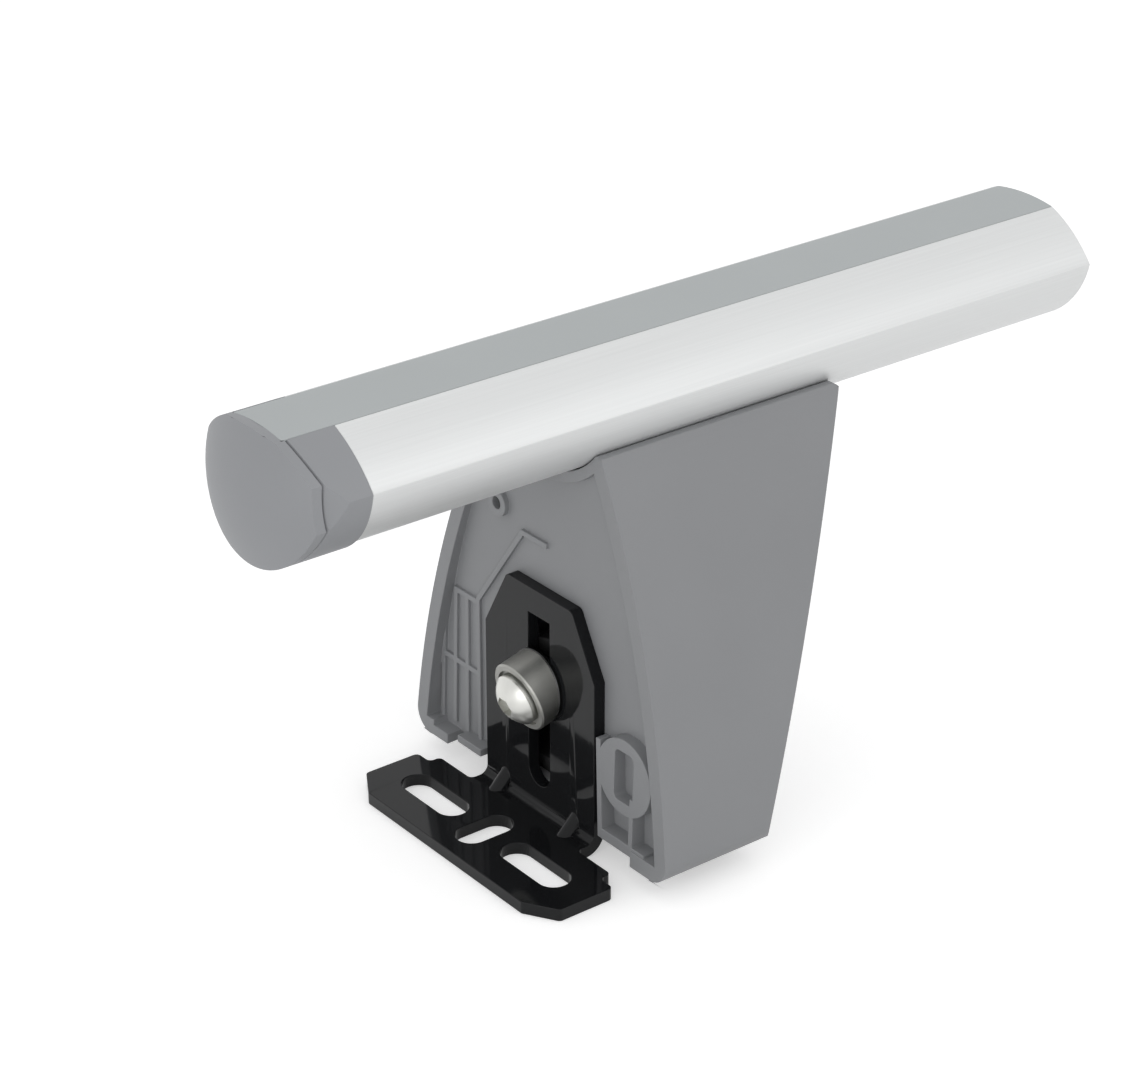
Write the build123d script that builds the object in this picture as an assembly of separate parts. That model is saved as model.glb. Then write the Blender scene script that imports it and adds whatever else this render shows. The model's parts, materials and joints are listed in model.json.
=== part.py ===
from build123d import *

import os
from math import sqrt

# Foot of a vehicle roof bar with the end of the bar that it clamps.
# Millimetres. X runs along the bar, inboard positive. Y runs along the vehicle. Z is up.
# The origin is the middle of the roof slots, on the underside of the mounting bracket.

# Mounting bracket, folded from sheet
SHEET = 3.5
BEND_RADIUS = 2.5
BASE_LENGTH = 85.6
BASE_FRONT = 13.4
BASE_REAR = 12.7
FRONT_CUT_X = 5.5
FRONT_CUT_Y = 9.0
REAR_STEP_X = 3.6
REAR_STEP_Y = 5.5
UPRIGHT_FACE = 18.2
UPRIGHT_WIDTH = 46.4
UPRIGHT_HEIGHT = 67.4
UPRIGHT_TOP_WIDTH = 27.4
SHOULDER_DROP = 17.4
SHEET_CORNER = 2.0
BASE_CORNER = 1.5
ROOF_SLOT_WIDTH = 9.0
ROOF_SLOT_LENGTH = 24.5
ROOF_SLOT_SPACING = 44.0
CROSS_SLOT_LENGTH = 17.0
HEIGHT_SLOT_WIDTH = 9.0
HEIGHT_SLOT_FOOT = 10.0
HEIGHT_SLOT_TOP = 60.0
DART_SPACING = 29.7
DART_LEG = 5.2
DART_RADIUS = 2.2

# Clamp bolt that holds the tower on the bracket, tilted so that its head looks down
THREAD = 8.0
BOLT_HEIGHT = 40.5
BOLT_TILT = 15.0
BOLT_HEAD = 14.4
BOLT_HEAD_RIM = 2.2
BOLT_DOME_HEIGHT = 3.8
BOLT_TAIL = 4.0
SOCKET = 5.0
SOCKET_DEPTH = 2.6
COLLAR = 19.8
COLLAR_LENGTH = 6.9
COLLAR_RIM = 1.8
COLLAR_GROOVE = 1.0
WASHER = 20.2
WASHER_THICK = 1.2
NUT_FLATS = 13.0
NUT_HEIGHT = 6.5
NUT_BOSS = 21.0
NUT_LEDGE = 2.5

# Fits
THREAD_PLAY = 0.05
HOLE_PLAY = 0.4
NUT_PLAY = 0.1
BAR_PLAY = 0.3
STRIP_PLAY = 0.15
PLUG_PLAY = 0.3

# Bar section
BAR_BELLY = 103.0
BAR_WIDTH = 51.6
BELLY_DEPTH = 21.3
FACET_RISE = 12.2
FACET_BULGE = 1.3
STRIP_WIDTH = 20.8
STRIP_CROWN = 1.0
BAR_WALL = 2.0
BAR_WEB = 2.0
BAR_LENGTH = 235.8
BAR_OVERHANG = 48.8
STRIP_SEAT = 1.8
TOP_NECK = 11.0
TOP_LIP = 2.5
TOP_CHAMBER = 18.0
TOP_CHAMBER_DEPTH = 6.0
LOW_NECK = 9.0
LOW_LIP = 3.2
LOW_CHAMBER = 14.4
LOW_CHAMBER_DEPTH = 6.2

# End cap
CAP_DOME = 43.8
CAP_LENGTH = 21.8
CAP_DOME_DROP = 6.0
CAP_LIP = 2.7
CAP_PROUD = 0.8
CAP_PLUG = 12.0
CAP_GROOVE = 0.8
CAP_RIM = 2.0
CAP_FACET_LENGTH = 8.0
CAP_FACET_UP = 4.2
CAP_FACET_DOWN = 6.3

# Tower housing
MOUTH_FOOT = 16.8
MOUTH_TOP = 20.3
TOWER_FOOT = 5.0
FOOT_RISE = 1.7
BACK_FOOT = 52.8
BACK_TOP = 101.2
BACK_BOW = 3.5
BACK_CORNER = 3.0
BACK_EDGE = 2.2
TOWER_WIDTH = 108.6
TOWER_TOP_WIDTH = 45.8
SIDE_BOW = 5.7
FOOT_CORNER = 6.0
SADDLE_DEPTH = 9.4
SADDLE_FLOOR = 7.0
WALL = 3.0
RIM = 4.6
LIP = 3.0
WEB = 3.0
SEAT_WINDOW = 17.5
FLANGE_STEP = 2.4
FLANGE_STEP_WIDTH = 79.0
STIFFENER = 2.5
STIFFENER_SPACING = 40.0

# Ribs and bosses in the mouth of the tower
RIB = 1.6
RIB_LIP = 1.0
GUIDE_MARGIN = 6.0
GUIDE_SHOULDER = 52.1
GUIDE_TOP = 78.7
GUIDE_TOP_WIDTH = 20.0
LADDER_PITCH = 5.0
LADDER_FOOT_PITCH = 5.8
LADDER_TOP = 51.2
LADDER_LOW = 29.6
LADDER_SHORT_TOP = 40.0
KEEPER_SET_BACK = 0.8
KEEPER_OFFSET = 33.7
KEEPER_HEIGHT = 27.8
KEEPER_RADIUS = 10.0
KEEPER_RIB_OFFSET = 39.5
KEEPER_SLOT_WIDTH = 8.8
KEEPER_SLOT_HEIGHT = 9.6
KEEPER_SLOT_CORNER = 1.8
COVER_BOSS_OFFSET = 20.4
COVER_BOSS_HEIGHT = 84.4
COVER_BOSS_REACH = 1.6
COVER_BOSS = 7.6
COVER_BOSS_BORE = 3.4

# Bar clamp bolts and the rubber parts
T_BOLT_PLACES = {"outboard": 42.0, "inboard": 66.0}
T_HEAD = 13.0
T_HEAD_HEIGHT = 4.0
T_WASHER = 16.0
T_WASHER_THICK = 1.6
SADDLE_PAD = 1.6
SADDLE_PAD_WIDTH = 36.0
SADDLE_PAD_INSET = 1.5
PAD_WIDTH = 72.0
PAD_FLANGE_WIDTH = 90.0
PAD_FLANGE = 6.0
PAD_TOP = 14.0
PAD_INSET = 1.5
PAD_CORNER = 5.0

# Worked out from the driving dimensions
UPRIGHT_BACK = UPRIGHT_FACE + SHEET
BAR_HALF = BAR_WIDTH / 2
BAR_CREASE = BAR_BELLY + BELLY_DEPTH
STRIP_EDGE = BAR_CREASE + FACET_RISE
BAR_CROWN = STRIP_EDGE + STRIP_CROWN
BELLY_RADIUS = (BAR_HALF**2 + BELLY_DEPTH**2) / (2 * BELLY_DEPTH)
BELLY_CENTRE = BAR_BELLY + BELLY_RADIUS
SADDLE_RADIUS = BELLY_RADIUS + BAR_PLAY
PAD_SEAT_RADIUS = SADDLE_RADIUS + SADDLE_PAD
TOWER_TOP = BAR_BELLY + SADDLE_DEPTH
ROOF_UNDERSIDE = BAR_BELLY - SADDLE_FLOOR
WEB_BACK = UPRIGHT_BACK + WEB
RIB_FACE = UPRIGHT_BACK - RIB_LIP
GUIDE_WIDTH = UPRIGHT_WIDTH + 2 * GUIDE_MARGIN
NUT_SET = SHEET + WEB + NUT_LEDGE
BOLT_LINE = Pos(UPRIGHT_FACE, 0, BOLT_HEIGHT) * Rot(0, -BOLT_TILT, 0)
STRIP_SEAT_Z = STRIP_EDGE - STRIP_SEAT
TOP_NECK_FOOT = STRIP_SEAT_Z - TOP_LIP
LOW_NECK_TOP = BAR_BELLY + LOW_LIP
BAR_START = -BAR_OVERHANG
BAR_END = BAR_START + BAR_LENGTH
CAP_NOSE = BAR_START - CAP_LENGTH
CAP_CENTRE = CAP_NOSE + CAP_DOME
CAP_DOME_HEIGHT = BAR_CREASE - CAP_DOME_DROP
FAR = 400.0


def prism_x(section, start, end):
    """Extrude a section drawn in Y and Z along X."""
    return extrude(Plane.YZ.offset(start) * section, amount=end - start)


def prism_y(section, half):
    """Extrude a section drawn in X and Z to both sides along Y."""
    return extrude(Plane.XZ * section, amount=half, both=True)


def prism_z(section, start, end):
    """Extrude a section drawn in X and Y along Z."""
    return extrude(Plane.XY.offset(start) * section, amount=end - start)


def on_bolt_line(section, start, end):
    """Extrude a section along the tilted bolt, from its place on the upright's face."""
    return BOLT_LINE * prism_x(section, start, end)


def box(x0, x1, y0, y1, z0, z1):
    """Block between six planes."""
    middle = Pos((x0 + x1) / 2, (y0 + y1) / 2, (z0 + z1) / 2)
    return middle * Box(x1 - x0, y1 - y0, z1 - z0)


def hexagon(flats):
    """Hexagon with the given distance across its flats."""
    return RegularPolygon(flats / 2, 6, major_radius=False)


def mounting_bracket():
    """Folded sheet: a slotted base on the roof and a slotted upright behind the clamp bolt."""
    outer = BEND_RADIUS + SHEET
    fold = make_face(
        Polyline(
            (-BASE_FRONT, SHEET),
            (-BASE_FRONT, 0),
            (UPRIGHT_BACK, 0),
            (UPRIGHT_BACK, UPRIGHT_HEIGHT),
            (UPRIGHT_FACE, UPRIGHT_HEIGHT),
            (UPRIGHT_FACE, SHEET),
            close=True,
        )
    )
    outside = fold.vertices().sort_by_distance((UPRIGHT_BACK, 0, 0))[0]
    fold = fillet(outside, outer)
    inside = fold.vertices().sort_by_distance((UPRIGHT_FACE, SHEET, 0))[0]
    fold = fillet(inside, BEND_RADIUS)
    sheet = prism_y(fold, BASE_LENGTH / 2)

    half = BASE_LENGTH / 2
    neck = UPRIGHT_WIDTH / 2
    plan_half = make_face(
        Polyline(
            (-BASE_FRONT, 0),
            (-BASE_FRONT, half - FRONT_CUT_Y),
            (-BASE_FRONT + FRONT_CUT_X, half),
            (BASE_REAR - REAR_STEP_X, half),
            (BASE_REAR - REAR_STEP_X, half - REAR_STEP_Y),
            (BASE_REAR, half - REAR_STEP_Y),
            (BASE_REAR, neck),
            (UPRIGHT_BACK, neck),
            (UPRIGHT_BACK, 0),
            close=True,
        )
    )
    plan = plan_half + mirror(plan_half, about=Plane.XZ)
    base_corners = plan.vertices().filter_by(lambda corner: corner.X < UPRIGHT_FACE)
    plan = fillet(base_corners, BASE_CORNER)
    bracket = sheet & prism_z(plan, 0, UPRIGHT_HEIGHT)

    shoulder = UPRIGHT_HEIGHT - SHOULDER_DROP
    cut_half = make_face(
        Polyline(
            (UPRIGHT_TOP_WIDTH / 2, UPRIGHT_HEIGHT),
            (neck, shoulder),
            (neck, UPRIGHT_HEIGHT),
            close=True,
        )
    )
    cuts = prism_x(cut_half + mirror(cut_half, about=Plane.YZ), UPRIGHT_FACE, UPRIGHT_BACK)
    bracket -= cuts
    bracket -= prism_z(roof_slots(), 0, SHEET)
    bracket -= prism_x(height_slot(), UPRIGHT_FACE, UPRIGHT_BACK)
    top_corners = bracket.edges().filter_by(Axis.X).group_by(Axis.Z)[-1]
    bracket = fillet(top_corners, SHEET_CORNER)
    for side in (-1, 1):
        bracket += dart(side * DART_SPACING / 2, DART_RADIUS, 0) & inside_corner()
        bracket -= dart(side * DART_SPACING / 2, DART_RADIUS / 2, SHEET) & outside_corner()
    return bracket


def roof_slots():
    """Two long slots along Y for the roof bolts and a cross slot between them."""
    long_slot = Rot(0, 0, 90) * SlotOverall(ROOF_SLOT_LENGTH, ROOF_SLOT_WIDTH)
    slots = SlotOverall(CROSS_SLOT_LENGTH, ROOF_SLOT_WIDTH)
    for side in (-1, 1):
        slots += Pos(0, side * ROOF_SLOT_SPACING / 2) * long_slot
    return slots


def height_slot():
    """Upright slot, square at its top and round at its foot."""
    radius = HEIGHT_SLOT_WIDTH / 2
    middle = (HEIGHT_SLOT_TOP + HEIGHT_SLOT_FOOT + radius) / 2
    straight = HEIGHT_SLOT_TOP - HEIGHT_SLOT_FOOT - radius
    slot = Pos(0, middle) * Rectangle(HEIGHT_SLOT_WIDTH, straight)
    return slot + Pos(0, HEIGHT_SLOT_FOOT + radius) * Circle(radius)


def dart(y, radius, depth):
    """Round bar across the inside of the fold at 45 degrees, sunk by a depth."""
    foot = Vector(UPRIGHT_FACE - DART_LEG, y, SHEET)
    into_fold = Vector(1, 0, -1).normalized()
    start = foot + into_fold * (radius + depth)
    along = Vector(1, 0, 1).normalized()
    line = Plane(origin=start - along * DART_LEG, z_dir=along)
    return extrude(line * Circle(radius), amount=DART_LEG * (sqrt(2) + 2))


def inside_corner():
    """Space over the base and in front of the upright, reaching into the sheet."""
    half = SHEET / 2
    reach = 2 * DART_LEG
    return box(
        UPRIGHT_FACE - reach, UPRIGHT_FACE + half, -BASE_LENGTH / 2, BASE_LENGTH / 2, half, reach
    )


def outside_corner():
    """Space under the base and behind the upright, up to the inside of the fold."""
    reach = DART_LEG
    return box(
        UPRIGHT_FACE - reach, UPRIGHT_BACK, -BASE_LENGTH / 2, BASE_LENGTH / 2, 0, SHEET + reach
    )


def clamp_bolt():
    """Domed bolt through the collar, the washer, the bracket and the tower's seat."""
    seat = COLLAR_GROOVE - COLLAR_LENGTH
    crown = seat - BOLT_HEAD_RIM - BOLT_DOME_HEIGHT
    head_radius = BOLT_HEAD / 2
    dome = (head_radius**2 + BOLT_DOME_HEIGHT**2) / (2 * BOLT_DOME_HEIGHT)
    head = on_bolt_line(Circle(head_radius), crown, seat)
    head &= BOLT_LINE * Pos(crown + dome, 0, 0) * Sphere(dome)
    tip = NUT_SET + NUT_HEIGHT + BOLT_TAIL
    shank = on_bolt_line(Circle(THREAD / 2 - THREAD_PLAY), seat, tip)
    shank = chamfer(shank.faces().sort_by(Axis.X)[-1].edges(), THREAD / 8)
    return head + shank - on_bolt_line(hexagon(SOCKET), crown, crown + SOCKET_DEPTH)


def before_washer():
    """Space in front of the washer."""
    return box(-FAR, UPRIGHT_FACE - WASHER_THICK, -FAR, FAR, -FAR, FAR)


def bolt_hole():
    """Clearance along the whole of the clamp bolt."""
    return on_bolt_line(Circle(THREAD / 2 + HOLE_PLAY), -COLLAR_LENGTH, NUT_SET)


def bolt_collar():
    """Collar that tilts the bolt: flat on the washer, with a raised rim round the head."""
    collar = on_bolt_line(Circle(COLLAR / 2), -COLLAR_LENGTH, COLLAR) & before_washer()
    rim = collar.edges().sort_by(Axis.X)[0]
    collar = chamfer(rim, COLLAR_RIM / 4)
    collar -= on_bolt_line(Circle(COLLAR / 2 - COLLAR_RIM), -COLLAR_LENGTH, COLLAR_GROOVE - COLLAR_LENGTH)
    return collar - bolt_hole()


def bolt_washer():
    """Flat washer between the collar and the upright."""
    front = UPRIGHT_FACE - WASHER_THICK
    washer = prism_x(Pos(0, BOLT_HEIGHT) * Circle(WASHER / 2), front, UPRIGHT_FACE)
    washer = chamfer(washer.faces().sort_by(Axis.X)[0].edges(), WASHER_THICK / 4)
    return washer - bolt_hole()


def captive_nut():
    """Nut in the hexagon pocket of the boss behind the tower's seat."""
    return on_bolt_line(hexagon(NUT_FLATS) - Circle(THREAD / 2), NUT_SET, NUT_SET + NUT_HEIGHT)


def tower_side():
    """Side view of the tower in X and Z: an open mouth that leans back and a bowed back."""
    return make_face(
        Polyline(
            (BACK_TOP, TOWER_TOP),
            (MOUTH_TOP, TOWER_TOP),
            (MOUTH_FOOT, TOWER_FOOT),
            (BACK_FOOT, TOWER_FOOT + FOOT_RISE),
        )
        + SagittaArc((BACK_FOOT, TOWER_FOOT + FOOT_RISE), (BACK_TOP, TOWER_TOP), BACK_BOW)
    )


def tower_front():
    """Front view of the tower in Y and Z, with bowed sides that close on the bar."""
    foot = TOWER_WIDTH / 2
    top = TOWER_TOP_WIDTH / 2
    return make_face(
        Line((top, TOWER_TOP), (-top, TOWER_TOP))
        + SagittaArc((-top, TOWER_TOP), (-foot, TOWER_FOOT), -SIDE_BOW)
        + Line((-foot, TOWER_FOOT), (foot, TOWER_FOOT))
        + SagittaArc((foot, TOWER_FOOT), (top, TOWER_TOP), -SIDE_BOW)
    )


def tower_envelope():
    """Outside of the tower before the saddle is cut."""
    side = tower_side()
    front = tower_front()
    body = prism_y(side, TOWER_WIDTH) & prism_x(front, 0, FAR)
    long_edges = body.edges().filter_by(lambda edge: edge.length > TOWER_TOP / 2)
    body = chamfer(long_edges.group_by(Axis.X)[-1], BACK_EDGE)
    corner = side.vertices().sort_by_distance((BACK_TOP, TOWER_TOP, 0))[0]
    feet = front.vertices().group_by(Axis.Y)[0]
    body &= prism_y(fillet(corner, BACK_CORNER), TOWER_WIDTH)
    return body & prism_x(fillet(feet, FOOT_CORNER), 0, FAR)


def guide_house(grow=0.0):
    """Pocket outline that follows the upright with room for it to slide up."""
    half = GUIDE_WIDTH / 2
    top = GUIDE_TOP_WIDTH / 2
    house = make_face(
        Polyline(
            (-half, -FAR),
            (half, -FAR),
            (half, GUIDE_SHOULDER),
            (top, GUIDE_TOP),
            (-top, GUIDE_TOP),
            (-half, GUIDE_SHOULDER),
            close=True,
        )
    )
    return offset(house, grow, kind=Kind.INTERSECTION) if grow else house


def ladder_place(step, height):
    """Where a rib of the ladder stands at a height; the ribs splay towards the foot."""
    rise = (height - TOWER_FOOT) / (LADDER_TOP - TOWER_FOOT)
    pitch = LADDER_FOOT_PITCH + rise * (LADDER_PITCH - LADDER_FOOT_PITCH)
    return (GUIDE_WIDTH + RIB) / 2 + step * pitch


def mouth_ribs():
    """Low ribs on the web: half a house round the bracket and a ladder beside it."""
    half = RIB / 2
    beside = Pos(FAR / 2, 0) * Rectangle(FAR, 2 * FAR)
    ribs = (guide_house(RIB) - guide_house()) & beside
    for step, top in ((1, LADDER_TOP), (2, LADDER_TOP), (3, LADDER_SHORT_TOP)):
        low = ladder_place(step, TOWER_FOOT)
        high = ladder_place(step, top)
        ribs += make_face(
            Polyline(
                (low - half, TOWER_FOOT),
                (low + half, TOWER_FOOT),
                (high + half, top),
                (high - half, top),
                close=True,
            )
        )
    inner = GUIDE_WIDTH / 2
    for step, height in ((2, LADDER_TOP), (3, LADDER_LOW)):
        reach = ladder_place(step, height) + half - inner
        ribs += Pos(inner + reach / 2, height) * Rectangle(reach, RIB)
    return ribs


def lock_keeper():
    """Slotted ring for the cover's lock with a rib down to the foot, drawn in Y and Z."""
    reach = KEEPER_HEIGHT - TOWER_FOOT
    keeper = Pos(-KEEPER_RIB_OFFSET, TOWER_FOOT + reach / 2) * Rectangle(RIB, reach)
    keeper += Pos(-KEEPER_OFFSET, KEEPER_HEIGHT) * Circle(KEEPER_RADIUS)
    slot = RectangleRounded(KEEPER_SLOT_WIDTH, KEEPER_SLOT_HEIGHT, KEEPER_SLOT_CORNER)
    return keeper - Pos(-KEEPER_OFFSET, KEEPER_HEIGHT) * slot


def cover_circle(diameter):
    """Circle at the boss for the cover's screw, drawn in Y and Z."""
    return Pos(COVER_BOSS_OFFSET, COVER_BOSS_HEIGHT) * Circle(diameter / 2)


def tower_housing():
    """Moulded tower: hollow from below, with a ribbed mouth that takes the bracket."""
    envelope = tower_envelope()
    body = envelope
    inner_front = offset(tower_front(), -WALL, kind=Kind.INTERSECTION)
    inner_side = offset(tower_side(), -WALL, kind=Kind.INTERSECTION)
    hollow = prism_y(inner_side, TOWER_WIDTH) & prism_x(inner_front, WEB_BACK, FAR)
    hollow &= box(0, FAR, -TOWER_WIDTH, TOWER_WIDTH, 0, ROOF_UNDERSIDE)
    underside = hollow.faces().sort_by(Axis.Z)[0]
    hollow += extrude(underside, amount=TOWER_FOOT + WALL, dir=(0, 0, -1))
    body -= hollow

    mouth = offset(tower_front(), -RIM, kind=Kind.INTERSECTION)
    mouth += band(FLANGE_STEP_WIDTH, TOWER_FOOT, GUIDE_SHOULDER)
    mouth -= Pos(0, BELLY_CENTRE) * Circle(SADDLE_RADIUS + LIP)
    mouth_space = prism_x(mouth, 0, UPRIGHT_BACK)
    body -= mouth_space
    body += prism_x(mouth_ribs(), RIB_FACE, UPRIGHT_BACK) & mouth_space
    set_back = Pos(KEEPER_SET_BACK, 0, 0) * envelope
    body += prism_x(lock_keeper(), 0, UPRIGHT_BACK) & mouth_space & set_back
    boss_face = UPRIGHT_BACK - COVER_BOSS_REACH
    body += prism_x(cover_circle(COVER_BOSS), boss_face, UPRIGHT_BACK)
    body -= prism_x(cover_circle(COVER_BOSS_BORE), boss_face, WEB_BACK)

    nut_boss = on_bolt_line(Circle(NUT_BOSS / 2), 0, NUT_SET + NUT_HEIGHT)
    nut_boss &= box(UPRIGHT_BACK, FAR, -NUT_BOSS, NUT_BOSS, 0, TOWER_TOP)
    body -= prism_x(band(SEAT_WINDOW, HEIGHT_SLOT_FOOT, HEIGHT_SLOT_TOP), UPRIGHT_BACK, WEB_BACK)
    body += nut_boss
    body -= on_bolt_line(hexagon(NUT_FLATS + 2 * NUT_PLAY), NUT_SET, NUT_SET + NUT_HEIGHT)
    body -= bolt_hole()

    for side in (-1, 1):
        y = side * STIFFENER_SPACING / 2
        plate = box(WEB_BACK, FAR, y - STIFFENER / 2, y + STIFFENER / 2, PAD_TOP, ROOF_UNDERSIDE)
        body += plate & hollow
    step_half = FLANGE_STEP_WIDTH / 2
    body -= box(0, WEB_BACK, -step_half, step_half, 0, TOWER_FOOT + FLANGE_STEP)
    body -= prism_x(Pos(0, BELLY_CENTRE) * Circle(SADDLE_RADIUS), 0, FAR)
    return body - pad_space() - t_bolt_holes()


def t_bolt_holes():
    """Clearance for the bar clamp bolts through the saddle."""
    holes = Part()
    for x in T_BOLT_PLACES.values():
        holes += prism_z(Pos(x, 0) * Circle(THREAD / 2 + HOLE_PLAY), ROOF_UNDERSIDE, BAR_BELLY)
    return holes


def pad_space():
    """Space of the saddle pad, from its seat in the tower to its face."""
    ring = Circle(PAD_SEAT_RADIUS) - Circle(SADDLE_RADIUS)
    start = MOUTH_TOP + SADDLE_PAD_INSET
    end = BACK_TOP - BACK_CORNER - SADDLE_PAD_INSET
    half = SADDLE_PAD_WIDTH / 2
    space = prism_x(Pos(0, BELLY_CENTRE) * ring, start, end)
    return space & box(start, end, -half, half, 0, BELLY_CENTRE)


def saddle_pad():
    """Rubber liner set into the saddle under the belly of the bar."""
    return pad_space() - t_bolt_holes()


def foot_pad():
    """Rubber foot under the hollow of the tower, with a flange that stays inside it."""
    start = WEB_BACK
    end = BACK_FOOT - WALL - PAD_INSET
    middle = (start + end) / 2
    depth = end - start
    sole = Pos(middle, 0) * RectangleRounded(depth, PAD_WIDTH, PAD_CORNER)
    flange = Pos(middle, 0) * RectangleRounded(depth, PAD_FLANGE_WIDTH, PAD_CORNER)
    return prism_z(sole, 0, PAD_TOP - PAD_FLANGE) + prism_z(flange, PAD_TOP - PAD_FLANGE, PAD_TOP)


def t_bolt(x):
    """Square-headed bolt in the lower slot of the bar, hanging through the saddle."""
    head = Pos(x, 0) * Rectangle(T_HEAD, T_HEAD)
    bolt = prism_z(head, LOW_NECK_TOP, LOW_NECK_TOP + T_HEAD_HEIGHT)
    end = ROOF_UNDERSIDE - T_WASHER_THICK - NUT_HEIGHT - BOLT_TAIL
    shank = prism_z(Pos(x, 0) * Circle(THREAD / 2 - THREAD_PLAY), end, LOW_NECK_TOP)
    return bolt + chamfer(shank.faces().sort_by(Axis.Z)[0].edges(), THREAD / 8)


def t_bolt_washer(x):
    """Square washer under the roof of the tower."""
    ring = Rectangle(T_WASHER, T_WASHER) - Circle(THREAD / 2 + HOLE_PLAY)
    return prism_z(Pos(x, 0) * ring, ROOF_UNDERSIDE - T_WASHER_THICK, ROOF_UNDERSIDE)


def t_bolt_nut(x):
    """Hexagon nut below that washer."""
    ring = hexagon(NUT_FLATS) - Circle(THREAD / 2)
    top = ROOF_UNDERSIDE - T_WASHER_THICK
    return prism_z(Pos(x, 0) * ring, top - NUT_HEIGHT, top)


def bar_skin(belly):
    """Outside of the bar in Y and Z, flat between the edges of the strip."""
    edge = STRIP_WIDTH / 2
    return make_face(
        Line((-edge, STRIP_EDGE), (edge, STRIP_EDGE))
        + SagittaArc((edge, STRIP_EDGE), (BAR_HALF, BAR_CREASE), FACET_BULGE)
        + ThreePointArc((BAR_HALF, BAR_CREASE), (0, belly), (-BAR_HALF, BAR_CREASE))
        + SagittaArc((-BAR_HALF, BAR_CREASE), (-edge, STRIP_EDGE), FACET_BULGE)
    )


def strip_crown():
    """Crowned face of the strip between its edges, down to its seat."""
    edge = STRIP_WIDTH / 2
    return make_face(
        ThreePointArc((-edge, STRIP_EDGE), (0, BAR_CROWN), (edge, STRIP_EDGE))
        + Polyline(
            (edge, STRIP_EDGE), (edge, STRIP_SEAT_Z), (-edge, STRIP_SEAT_Z), (-edge, STRIP_EDGE)
        )
    )


def band(width, low, high):
    """Rectangle about the middle plane between two heights, in Y and Z."""
    return Pos(0, (low + high) / 2) * Rectangle(width, high - low)


def top_slot():
    """T slot under the strip."""
    foot = TOP_NECK_FOOT - TOP_CHAMBER_DEPTH
    return band(TOP_NECK, TOP_NECK_FOOT, STRIP_SEAT_Z) + band(TOP_CHAMBER, foot, TOP_NECK_FOOT)


def low_slot():
    """T slot for the clamp bolts, open at the belly."""
    neck = band(LOW_NECK, BAR_BELLY - LOW_LIP, LOW_NECK_TOP)
    return neck + band(LOW_CHAMBER, LOW_NECK_TOP, LOW_NECK_TOP + LOW_CHAMBER_DEPTH)


def bar_cells():
    """Hollow cells left and right of the middle web."""
    cells = offset(bar_skin(BAR_BELLY), -BAR_WALL, kind=Kind.INTERSECTION)
    top_foot = TOP_NECK_FOOT - TOP_CHAMBER_DEPTH - BAR_WALL
    low_top = LOW_NECK_TOP + LOW_CHAMBER_DEPTH + BAR_WALL
    cells -= band(TOP_CHAMBER + 2 * BAR_WALL, top_foot, BAR_CROWN)
    cells -= band(LOW_CHAMBER + 2 * BAR_WALL, BAR_BELLY, low_top)
    return cells - band(BAR_WEB, low_top, top_foot)


def bar_extrusion():
    """Extruded bar with a T slot at its top and one at its belly."""
    section = bar_skin(BAR_BELLY) - strip_crown() - bar_cells() - top_slot() - low_slot()
    return prism_x(section, BAR_START, BAR_END)


def strip_start():
    """Where the strip ends behind the lip of the end cap."""
    rise = BAR_CROWN - CAP_DOME_HEIGHT
    return CAP_CENTRE - sqrt(CAP_DOME**2 - rise**2) + CAP_LIP


def top_strip():
    """Rubber strip with a crowned face, a stem and a barb under the lips of the slot."""
    width = STRIP_WIDTH - 2 * STRIP_PLAY
    face = strip_crown() & band(width, STRIP_SEAT_Z, BAR_CROWN)
    stem = TOP_NECK / 2 - STRIP_PLAY
    barb = (TOP_NECK + TOP_CHAMBER) / 4
    root = TOP_NECK_FOOT - STRIP_PLAY
    tip = TOP_NECK_FOOT - TOP_CHAMBER_DEPTH / 2
    key = make_face(
        Polyline(
            (-stem, STRIP_SEAT_Z),
            (-stem, root),
            (-barb, root),
            (-stem, tip),
            (stem, tip),
            (barb, root),
            (stem, root),
            (stem, STRIP_SEAT_Z),
            close=True,
        )
    )
    return prism_x(face + key, strip_start(), BAR_END)


def cap_dome(radius):
    """Ball that shapes the face of the end cap."""
    return Pos(CAP_CENTRE, 0, CAP_DOME_HEIGHT) * Sphere(radius)


def cap_facet(side):
    """Plane of the triangular facet that fades out along the crease of the cap."""
    up = BAR_CREASE + CAP_FACET_UP
    down = BAR_CREASE - CAP_FACET_DOWN
    slope = (BAR_HALF - STRIP_WIDTH / 2) / (STRIP_EDGE - BAR_CREASE)
    rise = BAR_CREASE - CAP_DOME_HEIGHT
    rim = CAP_CENTRE - sqrt(CAP_DOME**2 - rise**2 - BAR_HALF**2)
    tip = Vector(rim + CAP_FACET_LENGTH, side * BAR_HALF, BAR_CREASE)
    upper = Vector(rim, side * (BAR_HALF - CAP_FACET_UP * slope), up)
    lower = Vector(rim, side * sqrt(BELLY_RADIUS**2 - (BELLY_CENTRE - down) ** 2), down)
    outward = (lower - tip).cross(upper - tip) * side
    return Plane(origin=tip, z_dir=outward)


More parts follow.
